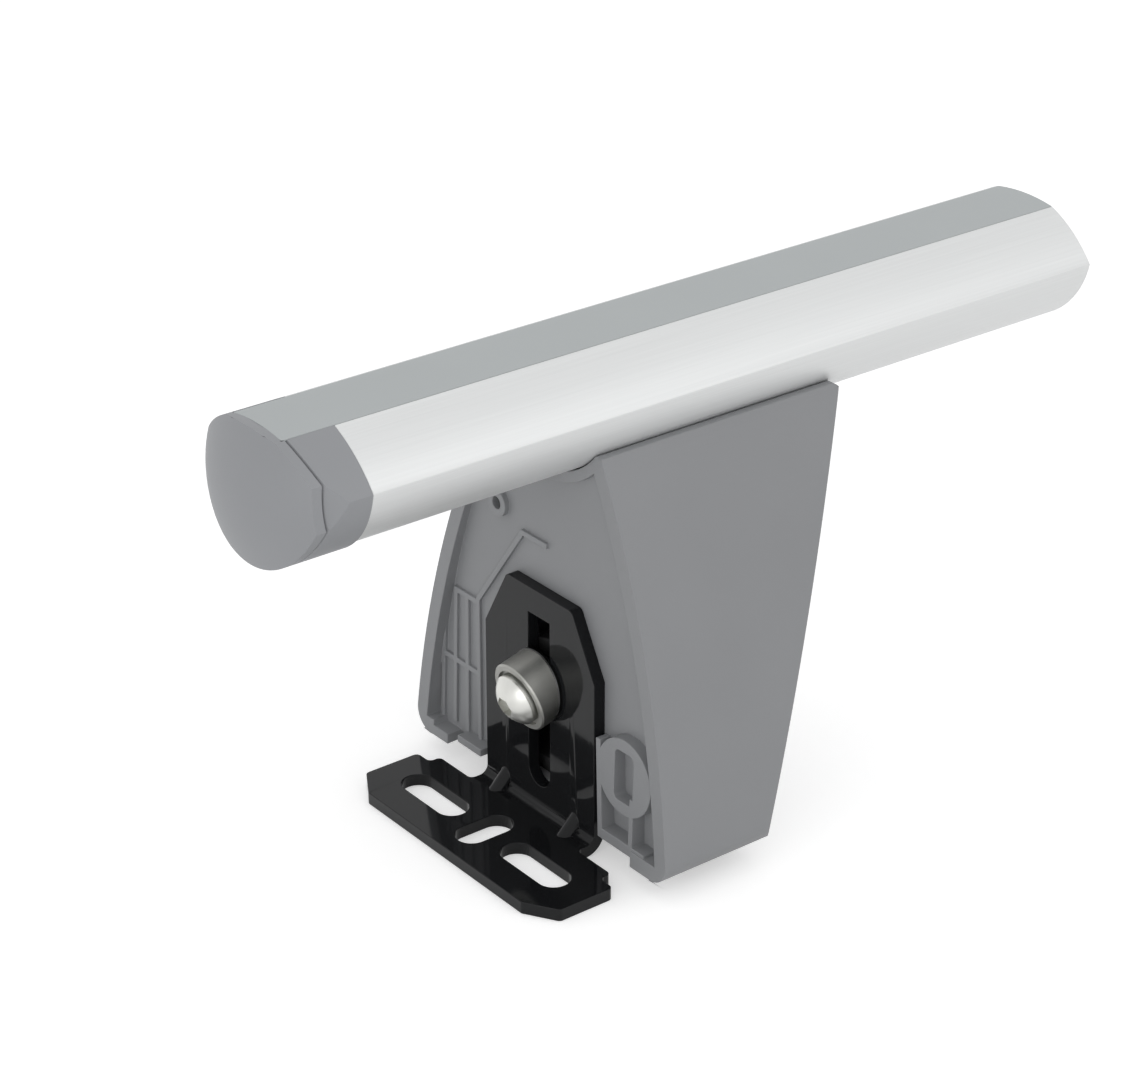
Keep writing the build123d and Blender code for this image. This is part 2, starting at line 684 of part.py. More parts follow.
def end_cap():
    """Domed cap that carries on the section of the bar and plugs into its cells."""
    crown = strip_crown()
    whole = bar_skin(BAR_BELLY - CAP_PROUD) + crown
    cap = prism_x(whole, CAP_NOSE, BAR_START) & cap_dome(CAP_DOME)
    cap -= prism_x(crown + top_slot(), strip_start(), BAR_START)
    skin = whole - offset(whole, -CAP_GROOVE, kind=Kind.INTERSECTION)
    groove = cap_dome(CAP_DOME - CAP_RIM) - cap_dome(CAP_DOME - CAP_RIM - CAP_GROOVE)
    cap -= groove & prism_x(skin, CAP_NOSE, strip_start())
    for side in (-1, 1):
        cap = split(cap, bisect_by=cap_facet(side), keep=Keep.BOTTOM)
    for cell in bar_cells().faces():
        plug = offset(Sketch() + cell, -PLUG_PLAY, kind=Kind.INTERSECTION)
        cap += prism_x(plug, BAR_START, BAR_START + CAP_PLUG)
    return cap


def build_pieces():
    """Every piece of the foot and the bar end by its node name."""
    pieces = {
        "tower_housing": tower_housing(),
        "saddle_pad": saddle_pad(),
        "foot_pad": foot_pad(),
        "mounting_bracket": mounting_bracket(),
        "clamp_bolt": clamp_bolt(),
        "bolt_collar": bolt_collar(),
        "bolt_washer": bolt_washer(),
        "captive_nut": captive_nut(),
        "bar_extrusion": bar_extrusion(),
        "top_strip": top_strip(),
        "end_cap": end_cap(),
    }
    for place, x in T_BOLT_PLACES.items():
        pieces["t_bolt_" + place] = t_bolt(x)
        pieces["t_bolt_washer_" + place] = t_bolt_washer(x)
        pieces["t_bolt_nut_" + place] = t_bolt_nut(x)
    return pieces


os.makedirs("parts", exist_ok=True)
for name, piece in build_pieces().items():
    export_step(piece, "parts/" + name + ".step")
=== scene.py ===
import json
from math import radians

import bpy
from bpy.props import FloatProperty, FloatVectorProperty, PointerProperty
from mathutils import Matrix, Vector

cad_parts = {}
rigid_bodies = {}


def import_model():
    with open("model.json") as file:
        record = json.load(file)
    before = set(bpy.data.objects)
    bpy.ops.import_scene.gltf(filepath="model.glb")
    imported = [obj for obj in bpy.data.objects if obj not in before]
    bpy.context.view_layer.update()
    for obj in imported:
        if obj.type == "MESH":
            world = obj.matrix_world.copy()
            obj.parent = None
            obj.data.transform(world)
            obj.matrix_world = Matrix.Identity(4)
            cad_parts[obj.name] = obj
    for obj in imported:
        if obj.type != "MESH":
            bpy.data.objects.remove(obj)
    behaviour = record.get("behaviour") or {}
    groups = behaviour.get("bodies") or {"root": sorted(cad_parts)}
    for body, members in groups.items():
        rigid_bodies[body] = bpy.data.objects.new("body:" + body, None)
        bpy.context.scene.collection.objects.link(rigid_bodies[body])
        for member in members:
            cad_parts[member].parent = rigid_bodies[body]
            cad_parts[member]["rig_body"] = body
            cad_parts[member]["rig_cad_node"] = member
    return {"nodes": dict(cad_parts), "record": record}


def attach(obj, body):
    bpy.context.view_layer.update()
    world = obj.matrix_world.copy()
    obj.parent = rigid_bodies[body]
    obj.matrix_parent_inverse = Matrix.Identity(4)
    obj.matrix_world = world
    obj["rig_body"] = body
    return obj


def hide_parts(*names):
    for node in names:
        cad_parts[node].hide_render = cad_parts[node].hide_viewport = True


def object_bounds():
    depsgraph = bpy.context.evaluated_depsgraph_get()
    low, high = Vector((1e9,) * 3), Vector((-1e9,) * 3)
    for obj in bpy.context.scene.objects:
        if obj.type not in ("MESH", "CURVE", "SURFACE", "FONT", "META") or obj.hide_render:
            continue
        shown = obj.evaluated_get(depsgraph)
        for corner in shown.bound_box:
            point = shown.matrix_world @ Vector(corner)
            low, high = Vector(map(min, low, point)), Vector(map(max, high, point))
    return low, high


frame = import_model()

bl_info = {
    "name": "Roof bar foot",
    "version": (1, 0, 0),
    "blender": (4, 5, 0),
    "location": "View3D > Sidebar > Bar foot",
    "description": "Finishes the pieces of a roof bar foot and sets them in a plain studio",
    "category": "Object",
}

CAD_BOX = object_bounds()
SLOT_OF_NODE = {part["node"]: part["material_slot"] for part in frame["record"]["subparts"]}
MILLIMETRE = 0.001
MERGE = 1e-6
CAP_MERGE = 5e-5

# Angles and counts of the finished meshes
FLAT_ANGLE = radians(0.5)
SMOOTH_ANGLE = radians(30)
EDGE_ANGLE = radians(35)
ALONG_X = (0.0, radians(90), 0.0)
EDGE_SEGMENTS = 2
CORNER_SEGMENTS = 5
KEEPER_SIDES = 96
CAP_SIDES = 192
BALL_SEGMENTS = 128
BALL_RINGS = 64

# Places of the finished pieces, all in millimetres up to the boxes
WEB_FACE = 21.7
WEB_BACK = 24.7
WEB_ROOT = WEB_FACE + 0.2
BRACKET_ROOM = 0.03
BAR_START = -48.8
STRIP_START = -63.47
STRIP_HALF = 10.4
STRIP_SEAT = 134.7

# The common area of these circles is the section of the cap: across, up and radius
CAP_CIRCLES = (
    (0.0, 128.31, 26.11),
    (4.54, 101.83, 37.76),
    (-4.54, 101.83, 37.76),
    (0.0, 82.9, 54.6),
)
# Corners of the facet at the crease of the cap, on its positive side
CAP_FACET = ((-60.0, 22.1, 128.6), (-60.4, 23.8, 117.6), (-55.3, 25.8, 124.5))
CAP_FRONT = -72.0
CORE_END = BAR_START - 1.0
DOME_MIDDLE = (-26.8, 0.0, 118.3)
WEDGE_SIZE = 200.0

# The pieces in the mouth start before its plane and are cut back to it
MOUTH_BLANK = 10.0
MOUTH_POINT = (17.2, 0.0, 5.0)
MOUTH_OUTWARD = (-0.99947, 0.0, 0.03257)
SLOT_START = 5.0
SLOT_END = 30.0
RIB_MIDDLE = 20.0
RIB_SPLAY = 2.0
SOLE_POINT = (WEB_BACK, 0.0, 5.0)
SOLE_OUTWARD = (-0.62, 0.0, -0.78)

# Boxes between two corners, in millimetres
SOLID_KEEPER = (MOUTH_BLANK, -44.6, 9.65), (WEB_FACE, -23.5, 39.0)
SOLID_LEDGE = (MOUTH_BLANK, 39.0, 8.0), (WEB_FACE, 46.0, 10.0)
SPLAYED_RIB = (MOUTH_BLANK, -27.6, 7.45), (WEB_ROOT, -25.9, 35.6)
UPRIGHT_RIB = (MOUTH_BLANK, -39.6, 9.0), (WEB_ROOT, -38.0, 24.0)
NEAR_LEDGE = (MOUTH_BLANK, -44.5, 7.45), (WEB_ROOT, -26.4, 10.4)
FAR_LEDGE = (MOUTH_BLANK, 25.0, 7.45), (WEB_ROOT, 35.6, 9.6)
STRIP_NOTCH = (STRIP_START, -STRIP_HALF, STRIP_SEAT), (BAR_START + 1.0, STRIP_HALF, 140.0)
BEHIND_BRACKET = (WEB_FACE - BRACKET_ROOM, -60.0, -10.0), (WEB_BACK, 60.0, 80.0)
# Painted shade: box on the web behind the bracket's slot, painted near black in place of the shade
# seen through the slot
PAINTED_SLOT_SHADE = (21.5, -8.7, 10.0), (40.0, 8.7, 60.0)

# Lamps: place from the part's middle and side in metres, power in watts
SOFTBOXES = {
    "key softbox": ((0.45, -0.75, 0.75), 0.7, 1.7),
    "left softbox": ((-0.85, -0.4, 0.12), 0.6, 1.6),
    "top softbox": ((0.1, 0.35, 0.95), 0.6, 0.5),
}
SENSOR_WIDTH = 36.0
# Floor: size in metres, drop below the part in millimetres, glow towards the camera
FLOOR_SIZE = 8.0
FLOOR_DROP = 0.1
FLOOR_GLOW = 0.45


class MouldingSettings(bpy.types.PropertyGroup):
    """Grey plastic of the tower and the end cap, and the painted shade behind the bracket's slot.
    """

    tower_colour: FloatVectorProperty(
        name="Tower colour",
        description="Colour of the moulded tower",
        subtype="COLOR",
        default=(0.27, 0.275, 0.285),
        min=0.0,
        max=1.0,
    )
    cap_colour: FloatVectorProperty(
        name="Cap colour",
        description="Colour of the end cap",
        subtype="COLOR",
        default=(0.3, 0.307, 0.322),
        min=0.0,
        max=1.0,
    )
    # Painted shade: near-black colour painted on the web behind the bracket's slot, in place of
    # the shade there
    slot_shade_colour: FloatVectorProperty(
        name="Seat colour",
        description="Colour of the seat behind the bracket's slot",
        subtype="COLOR",
        default=(0.008, 0.008, 0.0085),
        min=0.0,
        max=1.0,
    )
    grain_size: FloatProperty(
        name="Grain size",
        description="Pitch of the fine grain in the mould",
        unit="LENGTH",
        default=0.45 * MILLIMETRE,
        min=0.05 * MILLIMETRE,
    )
    edge_round: FloatProperty(
        name="Edge round",
        description="How far the moulded edges are rounded",
        unit="LENGTH",
        default=0.25 * MILLIMETRE,
        min=0.0,
    )


class KeeperSettings(bpy.types.PropertyGroup):
    """Slotted keeper in the mouth of the tower."""

    offset: FloatProperty(
        name="Offset",
        description="Where the keeper stands across the tower",
        unit="LENGTH",
        default=-35.4 * MILLIMETRE,
    )
    height: FloatProperty(
        name="Height",
        description="Height of the keeper's middle",
        unit="LENGTH",
        default=28.9 * MILLIMETRE,
    )
    radius: FloatProperty(
        name="Radius",
        description="Outer radius of the keeper",
        unit="LENGTH",
        default=10.7 * MILLIMETRE,
        min=MILLIMETRE,
    )
    slot_width: FloatProperty(
        name="Slot width",
        description="Width of the keeper's slot",
        unit="LENGTH",
        default=7.5 * MILLIMETRE,
        min=MILLIMETRE,
    )
    slot_height: FloatProperty(
        name="Slot height",
        description="Height of the keeper's slot",
        unit="LENGTH",
        default=14.2 * MILLIMETRE,
        min=MILLIMETRE,
    )
    slot_corner: FloatProperty(
        name="Slot corner",
        description="Radius in the corners of the keeper's slot",
        unit="LENGTH",
        default=1.6 * MILLIMETRE,
        min=0.0,
    )


class CapSettings(bpy.types.PropertyGroup):
    """Dome and groove of the end cap."""

    dome: FloatProperty(
        name="Dome",
        description="Radius of the cap's domed face",
        unit="LENGTH",
        default=43.79 * MILLIMETRE,
        min=MILLIMETRE,
    )
    groove_front: FloatProperty(
        name="Groove front",
        description="Radius at the front of the groove behind the face",
        unit="LENGTH",
        default=41.5 * MILLIMETRE,
        min=MILLIMETRE,
    )
    groove_width: FloatProperty(
        name="Groove width",
        description="Width of that groove",
        unit="LENGTH",
        default=0.6 * MILLIMETRE,
        min=0.0,
    )
    groove_depth: FloatProperty(
        name="Groove depth",
        description="Depth of that groove",
        unit="LENGTH",
        default=1.0 * MILLIMETRE,
        min=0.0,
    )
    edge_round: FloatProperty(
        name="Edge round",
        description="How far the edges of the cap are rounded",
        unit="LENGTH",
        default=0.1 * MILLIMETRE,
        min=0.0,
    )


class MetalSettings(bpy.types.PropertyGroup):
    """Bar, bracket and fasteners."""

    bar_colour: FloatVectorProperty(
        name="Bar colour",
        description="Colour of the anodised bar",
        subtype="COLOR",
        default=(0.72, 0.73, 0.73),
        min=0.0,
        max=1.0,
    )
    paint_colour: FloatVectorProperty(
        name="Paint colour",
        description="Colour of the paint on the bracket",
        subtype="COLOR",
        default=(0.01, 0.0105, 0.0115),
        min=0.0,
        max=1.0,
    )
    zinc_colour: FloatVectorProperty(
        name="Zinc colour",
        description="Colour of the plated bolts and nuts",
        subtype="COLOR",
        default=(0.68, 0.68, 0.65),
        min=0.0,
        max=1.0,
    )
    collar_colour: FloatVectorProperty(
        name="Collar colour",
        description="Colour of the turned collar",
        subtype="COLOR",
        default=(0.36, 0.36, 0.34),
        min=0.0,
        max=1.0,
    )
    # Painted shade and painted reflection: the plain zinc washer is coloured near black for the
    # shade and dark reflection behind the collar
    washer_shade_colour: FloatVectorProperty(
        name="Washer colour",
        description="Colour of the blackened washer behind the collar",
        subtype="COLOR",
        default=(0.05, 0.05, 0.05),
        min=0.0,
        max=1.0,
    )
    edge_round: FloatProperty(
        name="Edge round",
        description="How far the edges of sheet and bar are broken",
        unit="LENGTH",
        default=0.2 * MILLIMETRE,
        min=0.0,
    )


class RubberSettings(bpy.types.PropertyGroup):
    """Strip on the bar and the pads under the foot and the bar."""

    strip_colour: FloatVectorProperty(
        name="Strip colour",
        description="Colour of the strip along the bar",
        subtype="COLOR",
        default=(0.45, 0.475, 0.48),
        min=0.0,
        max=1.0,
    )
    pad_colour: FloatVectorProperty(
        name="Pad colour",
        description="Colour of the pads",
        subtype="COLOR",
        default=(0.03, 0.03, 0.031),
        min=0.0,
        max=1.0,
    )
    edge_round: FloatProperty(
        name="Edge round",
        description="How far the edges of the sole are rounded",
        unit="LENGTH",
        default=0.2 * MILLIMETRE,
        min=0.0,
    )


class StageSettings(bpy.types.PropertyGroup):
    """Camera, lamps and floor."""

    camera_place: FloatVectorProperty(
        name="Camera place",
        description="Where the camera stands",
        subtype="TRANSLATION",
        unit="LENGTH",
        default=(-0.4167, -0.5733, 0.4394),
    )
    camera_aim: FloatVectorProperty(
        name="Camera aim",
        description="Direction in which the camera looks",
        subtype="DIRECTION",
        default=(0.5502, 0.7068, -0.4446),
    )
    lens: FloatProperty(
        name="Lens",
        description="Focal length on a sensor 36 mm wide, in millimetres",
        default=99.5,
        min=10.0,
    )
    surroundings: FloatProperty(
        name="Surroundings",
        description="Strength of the even light from all round",
        default=0.72,
        min=0.0,
    )
    floor_colour: FloatVectorProperty(
        name="Floor colour",
        description="Colour of the floor",
        subtype="COLOR",
        default=(0.8, 0.8, 0.8),
        min=0.0,
        max=1.0,
    )


def deselect():
    """Leave nothing selected and object mode on."""
    if bpy.context.mode != "OBJECT":
        bpy.ops.object.mode_set(mode="OBJECT")
    bpy.ops.object.select_all(action="DESELECT")


def make_active(piece):
    """Select one piece alone and make it the active one."""
    deselect()
    piece.select_set(True)
    bpy.context.view_layer.objects.active = piece


def merged_copy(node):
    """Copy a node and merge its loose triangles."""
    make_active(frame["nodes"][node])
    bpy.ops.object.duplicate()
    piece = bpy.context.active_object
    piece.name = node + "_finished"
    del piece["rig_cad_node"]
    bpy.ops.object.mode_set(mode="EDIT")
    bpy.ops.mesh.select_all(action="SELECT")
    bpy.ops.mesh.remove_doubles(threshold=MERGE)
    bpy.ops.object.mode_set(mode="OBJECT")
    return piece


def soften(piece, width):
    """Join flat faces, smooth the round ones and round the sharp edges."""
    make_active(piece)
    bpy.ops.object.mode_set(mode="EDIT")
    bpy.ops.mesh.select_all(action="SELECT")
    bpy.ops.mesh.dissolve_limited(angle_limit=FLAT_ANGLE)
    bpy.ops.object.mode_set(mode="OBJECT")
    bpy.ops.object.shade_smooth_by_angle(angle=SMOOTH_ANGLE)
    bevel = piece.modifiers.new("soft edges", "BEVEL")
    bevel.width = width
    bevel.segments = EDGE_SEGMENTS
    bevel.limit_method = "ANGLE"
    bevel.angle_limit = EDGE_ANGLE
    bevel.use_clamp_overlap = False
    bevel.harden_normals = True
    bpy.ops.object.modifier_apply(modifier=bevel.name)


def stand_for(piece, node):
    """Let a piece take a node's place on its body."""
    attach(piece, frame["nodes"][node]["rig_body"])
    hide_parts(node)


def soft_edged(node, width):
    """Copy of a node with soft edges, in the node's place."""
    piece = merged_copy(node)
    soften(piece, width)
    stand_for(piece, node)
    return piece


def in_metres(place):
    """Place given in millimetres, as Blender takes it."""
    return [value * MILLIMETRE for value in place]


def settle():
    """Apply the place, turn and scale of a new primitive and return it."""
    bpy.ops.object.transform_apply(location=True, rotation=True, scale=True)
    return bpy.context.active_object


def block(low, high):
    """Box between two corners given in millimetres."""
    deselect()
    middle = [(near + far) / 2 * MILLIMETRE for near, far in zip(low, high)]
    sides = [(far - near) * MILLIMETRE for near, far in zip(low, high)]
    bpy.ops.mesh.primitive_cube_add(size=1.0, location=middle, scale=sides)
    return settle()


def rod(sides, radius, length, middle):
    """Round bar along X about its middle, with all its sizes in metres."""
    deselect()
    bpy.ops.mesh.primitive_cylinder_add(
        vertices=sides, radius=radius, depth=length, location=middle, rotation=ALONG_X
    )
    return settle()


def combine(piece, other, operation):
    """Join, cut or intersect a piece with a second closed shape, which is used up."""
    make_active(piece)
    change = piece.modifiers.new("combine", "BOOLEAN")
    change.operation = operation
    change.solver = "EXACT"
    change.object = other
    bpy.ops.object.modifier_apply(modifier=change.name)
    bpy.data.objects.remove(other)


def select_where(piece, test):
    """Enter edit mode with the vertices selected that pass a test on their place."""
    make_active(piece)
    bpy.ops.object.mode_set(mode="EDIT")
    bpy.ops.mesh.select_mode(type="VERT")
    bpy.ops.mesh.select_all(action="DESELECT")
    bpy.ops.object.mode_set(mode="OBJECT")
    for vertex in piece.data.vertices:
        vertex.select = test(vertex.co)
    bpy.ops.object.mode_set(mode="EDIT")


def cut_flat(piece, point, outward):
    """Cut a piece along a plane through a point in metres, losing what lies outward."""
    select_where(piece, lambda place: True)
    bpy.ops.mesh.bisect(
        plane_co=point, plane_no=outward, use_fill=True, clear_outer=True, threshold=MERGE
    )
    bpy.ops.object.mode_set(mode="OBJECT")


def paint(piece, material):
    """Give a piece one material all over."""
    piece.data.materials.clear()
    piece.data.materials.append(material)


def add(tree, kind, **inputs):
    """Add a shader node and set its inputs by name."""
    node = tree.nodes.new(kind)
    for name, value in inputs.items():
        node.inputs[name.replace("_", " ")].default_value = value
    return node


def math_node(tree, operation, first, second=None):
    """Add a math node whose inputs are sockets or numbers."""
    node = tree.nodes.new("ShaderNodeMath")
    node.operation = operation
    for socket, value in zip(node.inputs, (first, second)):
        if value is None:
            continue
        if isinstance(value, (int, float)):
            socket.default_value = value
        else:
            tree.links.new(value, socket)
    return node.outputs[0]


def new_group(name, inputs, outputs):
    """Start a shader group with value inputs and named outputs."""
    tree = bpy.data.node_groups.new(name, "ShaderNodeTree")
    for label, default in inputs.items():
        socket = tree.interface.new_socket(label, in_out="INPUT", socket_type="NodeSocketFloat")
        socket.default_value = default
    for label, kind in outputs.items():
        tree.interface.new_socket(label, in_out="OUTPUT", socket_type="NodeSocket" + kind)
    entry = tree.nodes.new("NodeGroupInput")
    leave = tree.nodes.new("NodeGroupOutput")
    return tree, entry, leave


def place_group(material_tree, group, **values):
    """Put a shader group into a material with its own values."""
    node = material_tree.nodes.new("ShaderNodeGroup")
    node.node_tree = group
    for name, value in values.items():
        node.inputs[name.replace("_", " ")].default_value = value
    return node


def mould_grain():
    """Fine even grain of a moulding, with a slow drift in tone."""
    name = "mould grain"
    if name in bpy.data.node_groups:
        return bpy.data.node_groups[name]
    tree, entry, leave = new_group(
        name,
        {"Fineness": 2000.0, "Drift": 25.0, "Drift Depth": 0.05},
        {"Height": "Float", "Tone": "Float"},
    )
    place = tree.nodes.new("ShaderNodeTexCoord")
    fine = add(tree, "ShaderNodeTexNoise", Detail=2.0, Roughness=0.5)
    slow = add(tree, "ShaderNodeTexNoise", Detail=2.0, Roughness=0.6)
    for noise, label in ((fine, "Fineness"), (slow, "Drift")):
        tree.links.new(place.outputs["Object"], noise.inputs["Vector"])
        tree.links.new(entry.outputs[label], noise.inputs["Scale"])
    swing = math_node(tree, "SUBTRACT", slow.outputs["Fac"], 0.5)
    swing = math_node(tree, "MULTIPLY", swing, entry.outputs["Drift Depth"])
    tone = math_node(tree, "ADD", swing, 1.0)
    tree.links.new(fine.outputs["Fac"], leave.inputs["Height"])
    tree.links.new(tone, leave.inputs["Tone"])
    return tree


def drawn_lines():
    """Fine lines along X that drawing or extruding leaves on metal."""
    name = "drawn lines"
    if name in bpy.data.node_groups:
        return bpy.data.node_groups[name]
    tree, entry, leave = new_group(
        name,
        {"Fineness": 1500.0, "Stretch": 0.01, "Tone Depth": 0.12},
        {"Height": "Float", "Tone": "Float"},
    )
    place = tree.nodes.new("ShaderNodeTexCoord")
    split = tree.nodes.new("ShaderNodeSeparateXYZ")
    join = tree.nodes.new("ShaderNodeCombineXYZ")
    tree.links.new(place.outputs["Object"], split.inputs[0])
    along = math_node(tree, "MULTIPLY", split.outputs["X"], entry.outputs["Stretch"])
    tree.links.new(along, join.inputs["X"])
    tree.links.new(split.outputs["Y"], join.inputs["Y"])
    tree.links.new(split.outputs["Z"], join.inputs["Z"])
    lines = add(tree, "ShaderNodeTexNoise", Detail=3.0, Roughness=0.6)
    tree.links.new(join.outputs[0], lines.inputs["Vector"])
    tree.links.new(entry.outputs["Fineness"], lines.inputs["Scale"])
    tree.links.new(lines.outputs["Fac"], leave.inputs["Height"])
    swing = math_node(tree, "SUBTRACT", lines.outputs["Fac"], 0.5)
    swing = math_node(tree, "MULTIPLY", swing, entry.outputs["Tone Depth"])
    tree.links.new(math_node(tree, "ADD", swing, 1.0), leave.inputs["Tone"])
    return tree


def tint(tree, shader, colour, tone):
    """Base colour that follows a tone over the surface."""
    mix = tree.nodes.new("ShaderNodeVectorMath")
    mix.operation = "SCALE"
    mix.inputs[0].default_value = tuple(colour)
    tree.links.new(tone, mix.inputs["Scale"])
    tree.links.new(mix.outputs[0], shader.inputs["Base Color"])


def bump(tree, shader, height, depth):
    """Relief on the normal, with its depth in metres."""
    relief = add(tree, "ShaderNodeBump", Strength=1.0, Distance=depth)
    tree.links.new(height, relief.inputs["Height"])
    tree.links.new(relief.outputs["Normal"], shader.inputs["Normal"])


def vary_roughness(tree, shader, mask, middle, swing):
    """Roughness that follows a mask over the surface."""
    change = math_node(tree, "MULTIPLY", math_node(tree, "SUBTRACT", mask, 0.5), swing)
    tree.links.new(math_node(tree, "ADD", change, middle), shader.inputs["Roughness"])


def new_finish(name, colour, group, relief, roughness, swing, **values):
    """Material whose tone, relief and roughness follow a shader group."""
    material = bpy.data.materials.new(name)
    material.use_nodes = True
    tree = material.node_tree
    shader = tree.nodes["Principled BSDF"]
    pattern = place_group(tree, group, **values)
    tint(tree, shader, colour, pattern.outputs["Tone"])
    bump(tree, shader, pattern.outputs["Height"], relief * MILLIMETRE)
    vary_roughness(tree, shader, pattern.outputs["Height"], roughness, swing)
    return material, shader


def moulded_plastic(name, colour, grain_size):
    """Satin grey plastic with the fine grain of its mould."""
    material, shader = new_finish(
        name,
        colour,
        mould_grain(),
        relief=0.02,
        roughness=0.5,
        swing=0.12,
        Fineness=1 / grain_size,
        Drift=30.0,
        Drift_Depth=0.08,
    )
    shader.inputs["Specular IOR Level"].default_value = 0.35
    return material


def within(tree, value, low, high):
    """One where a value lies between two bounds in millimetres, zero elsewhere."""
    above = math_node(tree, "GREATER_THAN", value, low * MILLIMETRE)
    below = math_node(tree, "LESS_THAN", value, high * MILLIMETRE)
    return math_node(tree, "MULTIPLY", above, below)


def tower_plastic_and_slot_shade(settings):
    """Tower plastic with painted shade: near black painted on the web where the bracket's slot
    runs over it.
    """
    material = moulded_plastic("tower plastic", settings.tower_colour, settings.grain_size)
    tree = material.node_tree
    shader = tree.nodes["Principled BSDF"]
    grey = shader.inputs["Base Color"].links[0].from_socket
    place = tree.nodes.new("ShaderNodeTexCoord")
    split = tree.nodes.new("ShaderNodeSeparateXYZ")
    tree.links.new(place.outputs["Object"], split.inputs[0])
    along, across, up = (
        within(tree, value, low, high) for value, low, high in zip(split.outputs, *PAINTED_SLOT_SHADE)
    )
    # Mask of the painted shade behind the bracket's slot
    slot_shade = math_node(tree, "MULTIPLY", math_node(tree, "MULTIPLY", along, across), up)
    mix = tree.nodes.new("ShaderNodeMix")
    mix.data_type = "RGBA"
    tree.links.new(slot_shade, mix.inputs["Factor"])
    tree.links.new(grey, mix.inputs["A"])
    mix.inputs["B"].default_value = (*settings.slot_shade_colour, 1.0)
    tree.links.new(mix.outputs["Result"], shader.inputs["Base Color"])
    return material


def anodised_aluminium(colour):
    """Satin anodised bar with fine drawn lines."""
    material, shader = new_finish(
        "satin anodised aluminium",
        colour,
        drawn_lines(),
        relief=0.004,
        roughness=0.45,
        swing=0.15,
        Fineness=1800.0,
        Stretch=0.01,
    )
    shader.inputs["Metallic"].default_value = 0.4
    return material


def gloss_paint(colour):
    """Black gloss paint with a slight orange peel."""
    material, shader = new_finish(
        "black gloss paint",
        colour,
        mould_grain(),
        relief=0.006,
        roughness=0.07,
        swing=0.04,
        Fineness=500.0,
        Drift=60.0,
        Drift_Depth=0.3,
    )
    shader.inputs["Specular IOR Level"].default_value = 0.2
    return material


def plated_zinc(name, colour, roughness):
    """Plated steel with a fine grain and a slight cloud in its tone."""
    material, shader = new_finish(
        name,
        colour,
        mould_grain(),
        relief=0.004,
        roughness=roughness,
        swing=0.15,
        Fineness=2500.0,
        Drift=180.0,
        Drift_Depth=0.25,
    )
    shader.inputs["Metallic"].default_value = 1.0
    return material


def matt_rubber(name, colour, roughness):
    """Matt rubber with a fine grain."""
    material, shader = new_finish(
        name,
        colour,
        mould_grain(),
        relief=0.015,
        roughness=roughness,
        swing=0.1,
        Fineness=3000.0,
        Drift=25.0,
        Drift_Depth=0.06,
    )
    shader.inputs["Specular IOR Level"].default_value = 0.3
    return material


class BARFOOT_OT_tower(bpy.types.Operator):
    """Finish the moulded tower, cleared where the keeper and the far ledge stand"""

    bl_idname = "barfoot.tower"
    bl_label = "Tower"

    def execute(self, context):
        settings = context.scene.bar_foot_moulding
        piece = merged_copy("tower_housing")
        for box in (SOLID_KEEPER, SOLID_LEDGE):
            combine(piece, block(*box), "DIFFERENCE")
        soften(piece, settings.edge_round)
        cut_flat(piece, CAD_BOX[0], (0.0, -1.0, 0.0))
        stand_for(piece, "tower_housing")
        paint(piece, tower_plastic_and_slot_shade(settings))
        return {"FINISHED"}


class BARFOOT_OT_keeper(bpy.types.Operator):
    """Model the slotted keeper, its ribs and the ledges at the foot of the mouth"""

    bl_idname = "barfoot.keeper"
    bl_label = "Keeper"

    def execute(self, context):
        settings = context.scene.bar_foot_moulding
        keeper = self.ring(context.scene.bar_foot_keeper)
        combine(keeper, self.splayed_rib(), "UNION")
        for box in (UPRIGHT_RIB, NEAR_LEDGE):
            combine(keeper, block(*box), "UNION")
        keeper.name = "lock_keeper"
        ledge = block(*FAR_LEDGE)
        ledge.name = "far_ledge"
        plastic = bpy.data.materials["tower plastic"]
        for piece in (keeper, ledge):
            cut_flat(piece, in_metres(MOUTH_POINT), MOUTH_OUTWARD)
            soften(piece, settings.edge_round)
            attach(piece, "foot")
            paint(piece, plastic)
        return {"FINISHED"}

    def ring(self, sizes):
        """Round plate with a slot through it."""
        length = WEB_ROOT - MOUTH_BLANK
        middle = ((MOUTH_BLANK + length / 2) * MILLIMETRE, sizes.offset, sizes.height)
        ring = rod(KEEPER_SIDES, sizes.radius, length * MILLIMETRE, middle)
        half_width = sizes.slot_width / 2 / MILLIMETRE
        half_height = sizes.slot_height / 2 / MILLIMETRE
        across = sizes.offset / MILLIMETRE
        up = sizes.height / MILLIMETRE
        slot = block(
            (SLOT_START, across - half_width, up - half_height),
            (SLOT_END, across + half_width, up + half_height),
        )
        self.round_long_edges(slot, sizes.slot_corner)
        combine(ring, slot, "DIFFERENCE")
        return ring

    def round_long_edges(self, piece, radius):
        """Round the edges of a box that run along X."""
        select_where(piece, lambda place: False)
        bpy.ops.mesh.select_mode(type="EDGE")
        bpy.ops.object.mode_set(mode="OBJECT")
        points = piece.data.vertices
        for edge in piece.data.edges:
            first, second = (points[index].co for index in edge.vertices)
            edge.select = abs(first.x - second.x) > MILLIMETRE
        bpy.ops.object.mode_set(mode="EDIT")
        bpy.ops.mesh.bevel(offset=radius, segments=CORNER_SEGMENTS)
        bpy.ops.object.mode_set(mode="OBJECT")

    def splayed_rib(self):
        """Rib beside the bracket that splays towards the foot."""
        rib = block(*SPLAYED_RIB)
        select_where(rib, lambda place: place.z > RIB_MIDDLE * MILLIMETRE)
        bpy.ops.transform.translate(value=(0.0, RIB_SPLAY * MILLIMETRE, 0.0))
        bpy.ops.object.mode_set(mode="OBJECT")
        return rib


